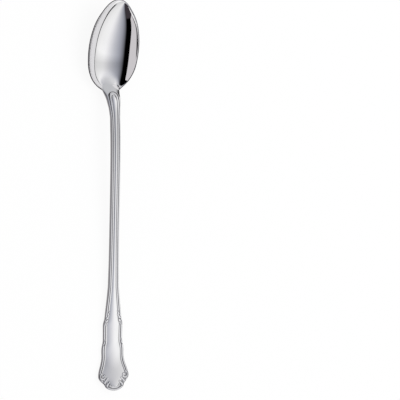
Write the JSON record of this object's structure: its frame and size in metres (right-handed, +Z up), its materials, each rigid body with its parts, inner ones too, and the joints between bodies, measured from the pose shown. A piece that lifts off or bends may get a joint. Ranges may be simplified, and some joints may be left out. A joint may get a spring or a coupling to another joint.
{
  "type": "iced tea spoon",
  "caption": "Long-stemmed spoon with a deep egg-shaped bowl, slim stem and scrolled handle end, for stirring and eating from tall glasses.",
  "frame": {"origin": "middle of the footprint on the table that the spoon lies on", "axes": "+Y from the handle end towards the tip of the bowl, +Z up out of the bowl, X across the spoon"},
  "size_m": [0.0292, 0.2, 0.0151],
  "materials": {
    "silver": "mirror polished"
  },
  "bodies": {
    "root": {"bowl": "silver", "neck": "silver", "stem": "silver", "handle_end": "silver"}
  },
  "joints": []
}
